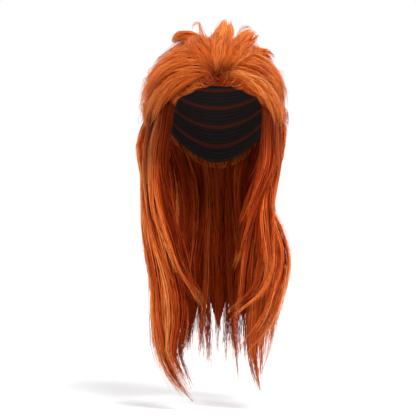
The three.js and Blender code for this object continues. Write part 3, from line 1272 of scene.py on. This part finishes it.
@dataclass(frozen=True)
class Wefts(FineHair):
    """Rows of short fibres sewn all over the cap, under the locks.

    Over the face, within face_width, they end above the edge by face_gap, and elsewhere below it by hang.
    """

    count: int = 1100
    rings: int = 6
    fibre: Range = (0.9, 1.8)
    area: float = 0.85
    turn: float = 26
    aside: float = 3
    fall: float = 34
    falls: Range = (0.7, 1.1)
    hang: float = 4
    face_width: float = 45
    face_gap: float = 14
    root_lift: float = 2.5
    tip_lift: Range = (3, 10)
    tone: float = 0.36
    grain: float = 0.1

    def build(self, cap: Cap, material: bpy.types.Material) -> None:
        """Makes the fibres as one mesh.

        A fibre starts at an even share of the cap's area and lies down over the cap, turning away from
        the face as it goes and lifting a little off the net.

        Args:
            cap: the cap that they are sewn to.
            material: the fibre's finish.
        """
        rng, each, u = self._start("wefts")
        start = rng.uniform(-180, 180, each)
        row = np.sqrt(rng.uniform(0, self.area, each))
        azimuth = start + np.sin(np.radians(start)) * self.turn * u + rng.normal(0, self.aside, each) * u
        polar = row * cap.edge(start) + self.fall * rng.uniform(*self.falls, each) * u
        face = np.exp(-((azimuth / self.face_width) ** 2))
        polar = np.minimum(polar, cap.edge(azimuth) + self.hang * row - self.face_gap * face)
        lift = self.root_lift + rng.uniform(*self.tip_lift, each) * u
        line, outward = HEAD.surface(azimuth, polar, lift)
        width = rng.uniform(*self.fibre, self.count)
        tone = rng.normal(self.tone, self.grain, self.count)
        tubes = FIBRE.tubes(line, outward, width, np.clip(tone, *self.TONES), u)
        show("weft_fibres", [tubes], material, Hair.CROWN.value)


@dataclass(frozen=True)
class Flyaways(FineHair):
    """Fine fibres that stand off the teased locks and curl over.

    Each lock has as many as count. They leave it within an arc of its section and a range along it, by
    a slant from the way the lock runs, and turn by curl from there to their tips.
    """

    count: int = 13
    rings: int = 11
    fibre: Range = (0.4, 0.8)
    length: Range = (12, 30)
    along: Range = (0.25, 0.95)
    arc: Range = (20, 160)
    slant: Range = (15, 60)
    curl: Range = (-270, -110)
    curl_power: float = 1.5
    lean: float = 65
    tone: Range = (0.45, 0.75)
    shares: Range = (0.35, 0.65)

    def build(self, locks: Iterable[Lock], material: bpy.types.Material) -> None:
        """Makes the flyaways of several locks as one mesh.

        Args:
            locks: the locks that they stand off.
            material: the fibre's finish.
        """
        rng, each, u = self._start("flyaways")
        tubes = [self._tubes(lock.spine(), rng, each, u) for lock in locks]
        show("flyaway_fibres", tubes, material, Hair.CROWN.value)

    def _tubes(self, spine: Spine, rng: np.random.Generator, each: tuple[int, int], u: Array) -> Tubes:
        """The flyaways of one lock.

        A fibre starts on the lock's oval section and stays in one plane, which holds the lock's own
        direction and leans to one side. Its heading in that plane starts at the slant and turns by a
        power of the share along, and its points are the running sum of steps along that heading.

        Args:
            spine: the lock's line.
            rng: the random source of all flyaways.
            each: the shape of a draw for each fibre.
            u: shares along a fibre.

        Returns:
            A tube for each fibre.
        """
        t = rng.uniform(*self.along, each)
        angle = np.radians(rng.uniform(*self.arc, each))[..., None]
        lean = np.radians(rng.uniform(-self.lean, self.lean, each))[..., None]
        slant = np.radians(rng.uniform(*self.slant, each))
        curl = np.radians(rng.uniform(*self.curl, each))
        step = rng.uniform(*self.length, each) / (self.rings - 1)

        centre, across, flat, half_width, half_thick = spine.at(t)
        outward = across * np.cos(angle) + flat * np.sin(angle)
        wide, deep = half_width[..., None] * np.cos(angle), half_thick[..., None] * np.sin(angle)
        start = centre + across * wide + flat * deep
        onward = np.cross(across, flat)
        rise = outward * np.cos(lean) + np.cross(outward, onward) * np.sin(lean)
        heading = (slant + curl * u**self.curl_power)[..., None]
        steps = (onward * np.cos(heading) + rise * np.sin(heading)) * step[..., None]
        line = HEAD.clear(start + np.cumsum(steps, axis=1) - steps[:, :1])
        facing = np.broadcast_to(np.cross(onward, rise), line.shape)
        width = rng.uniform(*self.fibre, self.count)
        tone = rng.uniform(*self.tone, self.count)
        return FIBRE.tubes(line, facing, width, tone, np.interp(u, (0, 1), self.shares))


# Short locks and spikes: name, azimuth at root and tip, polar angle and lift at root, bend and tip,
# width, thickness, tone
CROWN_ROWS: tuple[tuple[Any, ...], ...] = (
    ("layer_middle", (180, 180), (46, 72, 98), (6, 34, 36), 70, 26, 0.46),
    ("layer_left_back", (-154, -152), (46, 72, 99), (6, 34, 37), 68, 26, 0.48),
    ("layer_right_back", (154, 152), (46, 72, 97), (6, 33, 35), 68, 26, 0.48),
    ("layer_left_mid", (-128, -125), (46, 72, 98), (6, 34, 36), 66, 26, 0.46),
    ("layer_right_mid", (128, 125), (46, 72, 99), (6, 27, 25), 66, 26, 0.48),
    ("layer_left_ear", (-101, -98), (46, 70, 96), (6, 33, 26), 64, 25, 0.52),
    ("layer_right_ear", (101, 98), (46, 70, 98), (6, 16, 5), 64, 24, 0.54),
    ("crown_back_middle", (180, 180), (-14, 30, 68), (12, 42, 42), 84, 30, 0.5),
    ("crown_back_left", (-138, -144), (8, 36, 66), (12, 42, 43), 80, 30, 0.5),
    ("crown_back_right", (138, 144), (8, 36, 67), (12, 40, 40), 80, 30, 0.52),
    ("crown_side_left", (-96, -112), (8, 36, 62), (12, 36, 38), 76, 30, 0.5),
    ("crown_side_right", (96, 112), (8, 36, 63), (12, 30, 26), 76, 28, 0.5),
    ("wing_left_low", (-3, -84), (42, 38, 94), (3, 18, 28), 38, 24, 0.54),
    ("wing_right_low", (3, 83), (42, 38, 98), (3, 13, 12), 38, 22, 0.58),
    ("wing_left_mid", (-4, -93), (39, 30, 82), (5, 37, 31), 50, 30, 0.5),
    ("wing_right_mid", (4, 92), (39, 30, 80), (5, 24, 12), 50, 28, 0.56),
    ("wing_left_high", (-6, -98), (36, 20, 62), (8, 36, 38), 54, 30, 0.5),
    ("wing_right_high", (6, 98), (36, 20, 64), (8, 28, 24), 54, 28, 0.55),
    ("crown_left", (-10, -86), (33, 10, 42), (10, 36, 36), 50, 28, 0.52),
    ("crown_right", (10, 86), (33, 10, 42), (10, 33, 29), 50, 28, 0.54),
    ("quiff_left", (-6, -36), (42, 28, 20), (6, 35, 42), 42, 24, 0.47),
    ("quiff_right", (8, 40), (42, 28, 20), (6, 35, 40), 44, 24, 0.49),
    ("quiff_middle", (-2, 4), (44, 30, 12), (6, 36, 38), 32, 22, 0.54),
    ("spike_left_curl", (-50, -76), (10, 21, 25), (24, 66, 52), 30, 16, 0.54),
    ("spike_left_wisp", (-30, -62), (16, 12, 10), (26, 50, 65), 5, 4, 0.56),
    ("spike_middle", (0, 18), (22, 18, 11), (22, 48, 65), 30, 18, 0.66),
    ("spike_right", (20, 58), (24, 22, 22), (22, 44, 58), 32, 20, 0.62),
    ("spike_far_right", (56, 86), (22, 30, 34), (24, 42, 40), 28, 16, 0.58),
)

# Back locks: name, azimuth, tip, width, thickness, tone
BACK_ROWS: tuple[tuple[Any, ...], ...] = (
    ("back_middle", 180, (2, 90, -448), 58, 20, 0.5),
    ("back_left_inner", -155, (-38, 86, -440), 54, 20, 0.48),
    ("back_right_inner", 155, (42, 86, -436), 54, 20, 0.5),
    ("back_left_outer", -131, (-62, 70, -424), 54, 20, 0.5),
    ("back_right_outer", 131, (62, 70, -428), 54, 20, 0.48),
    ("back_left_side", -107, (-78, 42, -396), 50, 20, 0.5),
    ("back_right_side", 107, (74, 42, -402), 50, 20, 0.5),
)

# Thin back strands, in the same columns. They start at the nape, at these polar angles and lifts, and hang
# in front of the other back hair by the inset.
STRAND_ROOTS = ((98, 5.2), (116, 5))
STRAND_INSET = 16
STRAND_ROWS: tuple[tuple[Any, ...], ...] = (
    ("back_left_strand", -168, (-31, 70, -465), 9, 6, 0.5),
    ("back_right_strand", 168, (33, 70, -489), 9, 6, 0.5),
)

# Falls: name, facing at root and tip, width, thickness, tone, shade, stations from root to tip
# The tones are partly painted shade, the middle and lower locks darker than the outer ones, and shade
# stretches the dark root down the inner locks as painted shade.
FALL_ROWS: tuple[tuple[Any, ...], ...] = (
    (
        "fall_left_outer", (-88, -40), 38, 26, 0.53, 1.0,
        ((-90, 14, -70), (-110, 10, -122), (-103, 4, -165), (-103, -2, -200), (-97, -24, -268),
         (-87, -46, -330), (-85, -58, -390), (-78, -62, -432), (-62, -66, -470), (-36, -70, -500)),
    ),
    (
        "fall_left_middle", (-76, -14), 46, 22, 0.45, 1.8,
        ((-88, -14, -72), (-99, -16, -130), (-95, -22, -205), (-82, -44, -275), (-66, -62, -335),
         (-61, -72, -385), (-66, -76, -428), (-39, -80, -481)),
    ),
    (
        "fall_left_inner", (-60, -10), 38, 18, 0.5, 2.4,
        ((-77, -42, -70), (-90, -42, -145), (-86, -46, -213), (-71, -60, -265), (-57, -76, -308),
         (-32, -86, -344)),
    ),
    (
        "fall_left_lower", (-58, -8), 36, 16, 0.4, 2.4,
        ((-80, -28, -82), (-86, -28, -165), (-79, -34, -232), (-60, -52, -300), (-49, -66, -350),
         (-47, -74, -395), (-55, -78, -434)),
    ),
    (
        "fall_right_outer", (86, 16), 36, 22, 0.61, 1.0,
        ((79, 14, -76), (85, 8, -136), (70, -2, -182), (67, -14, -214), (83, -32, -256),
         (92, -48, -292), (84, -64, -336), (68, -78, -380), (34, -86, -425)),
    ),
    (
        "fall_right_middle", (74, 10), 42, 20, 0.44, 1.6,
        ((84, -14, -76), (82, -20, -145), (70, -28, -205), (64, -44, -265), (57, -58, -325),
         (54, -66, -385), (53, -72, -436), (61, -76, -483)),
    ),
    (
        "fall_right_flick", (64, 10), 30, 16, 0.5, 2.0,
        ((78, -32, -72), (79, -42, -150), (69, -50, -205), (69, -64, -260), (70, -78, -303),
         (59, -88, -336), (29, -94, -362)),
    ),
    (
        "fall_right_inner", (56, 14), 26, 14, 0.42, 2.2,
        ((72, -46, -70), (71, -58, -150), (56, -64, -200), (43, -70, -242), (28, -76, -290)),
    ),
    (
        "fall_right_strand", (50, 6), 10, 7, 0.52, 1.6,
        ((77, -40, -88), (66, -46, -185), (48, -60, -245), (37, -74, -300), (33, -80, -345),
         (24, -82, -392), (32, -84, -440)),
    ),
)

# Loose wisps: name, width, stations from root to tip
WISP_ROWS: tuple[tuple[Any, ...], ...] = (
    ("wisp_crown_left", 5, ((-14, -34, 24), (-24, -28, 46), (-30, -24, 58), (-37, -22, 55), (-39, -20, 45))),
    ("wisp_crown_right", 6, ((36, -26, 30), (46, -20, 42), (55, -16, 38), (55, -14, 27), (47, -14, 23))),
    ("wisp_crown_top", 6, ((28, -28, 36), (36, -24, 50), (46, -20, 53), (52, -18, 47))),
    (
        "wisp_left_low", 8,
        ((-101, -34, -330), (-99, -44, -385), (-97, -52, -418), (-84, -60, -456), (-66, -64, -490)),
    ),
    (
        "wisp_right_low", 11,
        ((84, -40, -280), (85, -48, -345), (78, -56, -395), (67, -62, -440), (56, -66, -470)),
    ),
)


@dataclass
class Wig:
    """The whole wig: its cap, its locks and its fine hair."""

    cap: Cap = Cap()

    def locks(self) -> list[Lock]:
        """Every lock, from the long ones at the bottom to the spikes on top, then the loose wisps.

        Returns:
            The locks, in the order of their tables.
        """
        made: list[Lock] = []
        for name, facing, *sizes, stations in FALL_ROWS:
            made.append(Lock(name, FallPath(facing, stations), *sizes))
        for name, azimuth, tip, *sizes in BACK_ROWS:
            made.append(Lock(name, BackPath(azimuth, tip), *sizes))
        for name, azimuth, tip, *sizes in STRAND_ROWS:
            made.append(Lock(name, BackPath(azimuth, tip, STRAND_ROOTS, STRAND_INSET), *sizes))
        for name, azimuth, polar, lift, *sizes in CROWN_ROWS:
            made.append(Lock(name, CrownPath(azimuth, polar, lift), *sizes))
        for name, width, stations in WISP_ROWS:
            made.append(Lock(name, FallPath((0, 0), stations), width, width, added=True))
        return made

    def build(self) -> None:
        """Makes the finishes, the cap, every lock and the fine hair."""
        fibres = {hair: finish.make() for hair, finish in FINISHES.items()}
        self.cap.build(NetFinish().make())
        Hairline().build(self.cap, fibres[Hair.CROWN])
        Wefts().build(self.cap, fibres[Hair.CROWN])
        locks = self.locks()
        for lock in locks:
            lock.build(fibres)
        Flyaways().build([lock for lock in locks if lock.texture in RUFFLED], fibres[Hair.CROWN])


@dataclass(frozen=True)
class Lamp:
    """One far, broad studio light: where it shines from, how wide it looks in degrees, and its strength."""

    name: str
    azimuth: float
    height: float
    spread: float
    strength: float

    def light(self) -> None:
        """Hangs the light so that it shines from its azimuth and height, in degrees, at the origin."""
        lamp = bpy.data.lights.new(self.name, "SUN")
        lamp.angle, lamp.energy = math.radians(self.spread), self.strength
        turn = (math.radians(90 - self.height), 0, math.radians(self.azimuth))
        put(self.name, lamp).rotation_euler = turn


@dataclass(frozen=True)
class Studio:
    """Floor, lights, sky and camera. Metres."""

    image: int = 416
    scale: float = 0.0015
    head_pixel: tuple[float, float] = (218, 63)
    distance: float = 2.6
    sensor: float = 36
    floor_drop: float = 0.012
    floor_half: float = 9.0
    sky_light: float = 0.45
    sky_shown: float = 1.0
    lamps: tuple[Lamp, ...] = (
        Lamp("key_light", azimuth=32, height=50, spread=25, strength=2.85),
        Lamp("fill_light", azimuth=-50, height=30, spread=50, strength=0.9),
        Lamp("left_rim_light", azimuth=-128, height=35, spread=40, strength=1.7),
        Lamp("right_rim_light", azimuth=118, height=35, spread=40, strength=1.9),
    )

    def build(self, low: Vector) -> None:
        """Sets the studio up.

        Args:
            low: the wig's lowest corner.
        """
        self._floor(low.z - self.floor_drop)
        self._sky()
        for lamp in self.lamps:
            lamp.light()
        self._camera()
        settings = bpy.context.scene.view_settings
        settings.view_transform = "Standard"
        settings.look = "None"

    def _floor(self, level: float) -> None:
        """A plain pale square under the wig.

        Args:
            level: its height.
        """
        half = self.floor_half
        corners = [(-half, -half, level), (half, -half, level), (half, half, level), (-half, half, level)]
        mesh = bpy.data.meshes.new("floor")
        mesh.from_pydata(corners, [], [(0, 1, 2, 3)])
        mesh.materials.append(FloorFinish().make())
        floor = put("floor", mesh)
        floor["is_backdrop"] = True

    def _sky(self) -> None:
        """An even white sky, brighter where it is seen than in the light that it gives."""
        world = bpy.data.worlds.new("studio_sky")
        world.use_nodes = True
        tree = world.node_tree
        seen = tree.nodes.new("ShaderNodeLightPath").outputs["Is Camera Ray"]
        strength = tree.nodes.new("ShaderNodeMapRange")
        strength.inputs["To Min"].default_value = self.sky_light
        strength.inputs["To Max"].default_value = self.sky_shown
        sky = tree.nodes["Background"]
        sky.inputs["Color"].default_value = (1, 1, 1, 1)
        tree.links.new(seen, strength.inputs["Value"])
        tree.links.new(strength.outputs["Result"], sky.inputs["Strength"])
        bpy.context.scene.world = world

    def _camera(self) -> None:
        """A long lens level with the picture's middle, framing as many millimetres as the photo does."""
        field_width = self.image * self.scale
        middle_x = (self.image / 2 - self.head_pixel[0]) * self.scale
        middle_z = (self.head_pixel[1] - self.image / 2) * self.scale
        lens = bpy.data.cameras.new("camera")
        lens.sensor_width = self.sensor
        lens.lens = self.sensor * self.distance / field_width
        camera = put("camera", lens)
        camera.location = (middle_x, -self.distance, middle_z)
        camera.rotation_euler = (math.pi / 2, 0, 0)
        bpy.context.scene.camera = camera


def main() -> None:
    """Measures the imported parts' bounds, then builds the wig and its studio."""
    logging.basicConfig(level=logging.INFO, format="%(name)s %(message)s")
    cad_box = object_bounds()
    Wig().build()
    Studio().build(cad_box[0])


if __name__ == "__main__":
    main()
